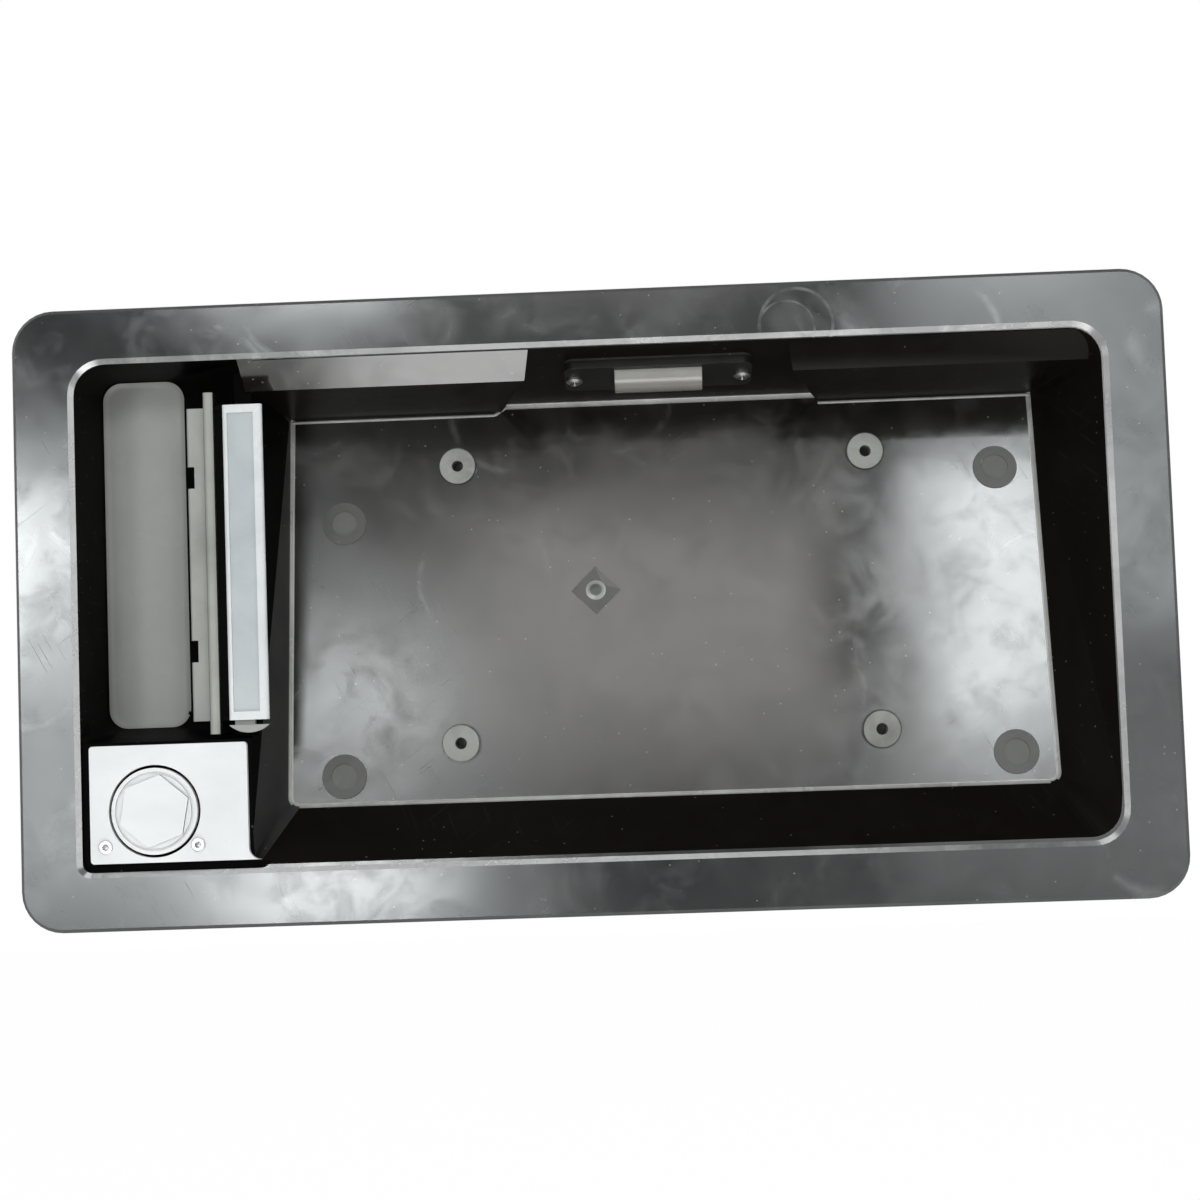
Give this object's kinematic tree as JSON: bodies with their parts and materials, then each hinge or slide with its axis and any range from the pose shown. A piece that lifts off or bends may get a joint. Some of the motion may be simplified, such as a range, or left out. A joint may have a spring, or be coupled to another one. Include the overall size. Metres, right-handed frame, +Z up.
{
  "type": "van door handle with licence plate pocket",
  "caption": "Rear van door handle: black moulded housing with a licence-plate pocket and lamp, a vertical hinged pull handle beside a finger pocket, a blanked lock pad and a bell crank behind.",
  "frame": {"origin": "middle of the flange on the door skin, the back plane of the foam gasket", "axes": "+X to the right seen from outside, +Y into the door, +Z up"},
  "size_m": [0.472, 0.0912, 0.2584],
  "materials": {
    "black_plastic": "semi-gloss, moulded",
    "foam": "closed-cell foam and rubber",
    "zinc_steel": "zinc plated",
    "passivated_steel": "yellow passivated",
    "dark_nylon": "matte nylon",
    "white_nylon": "natural nylon",
    "clear_plastic": "clear moulded lens",
    "bulb_glass": "clear glass",
    "terminal_brass": "plain",
    "bright_metal": "satin bright"
  },
  "bodies": {
    "housing": {"housing": "black_plastic", "flange_gasket": "foam", "mounting_studs": "zinc_steel", "plate_nuts": "white_nylon", "lamp_base": "black_plastic", "lamp_lens": "clear_plastic", "lamp_gasket": "foam", "lamp_screws": "zinc_steel", "bulb_holder": "dark_nylon", "holder_seal": "foam", "lamp_bulb": "bulb_glass", "lamp_terminals": "terminal_brass", "lock_cover": "bright_metal", "lock_plug": "bright_metal", "plug_clip": "zinc_steel", "cover_rivets": "zinc_steel", "handle_pin": "zinc_steel", "pin_clip": "zinc_steel", "handle_spring": "zinc_steel", "arm_bumper": "foam", "crank_washer": "white_nylon", "crank_screw": "zinc_steel"},
    "handle": {"handle_lever": "bright_metal"},
    "crank": {"bell_crank": "passivated_steel", "crank_stud": "zinc_steel", "rod_clip": "white_nylon"}
  },
  "joints": [
    {"name": "handle_pull", "type": "hinge", "parent": "housing", "child": "handle", "pos_m": [-0.144, 0.003, 0.02125], "axis": [0, 0, 1], "range_deg": [0, 24], "stiffness_Nm_per_rad": 0.6, "springref_deg": -20.05, "deforming": ["handle_spring"]},
    {"name": "crank_turn", "type": "hinge", "parent": "housing", "child": "crank", "pos_m": [-0.1494, 0.0455, -0.00695], "axis": [0, -1, 0], "range_deg": [0, 24]}
  ],
  "couplings": [
    {"joint": "crank_turn", "follows": "handle_pull", "ratio": 1}
  ]
}
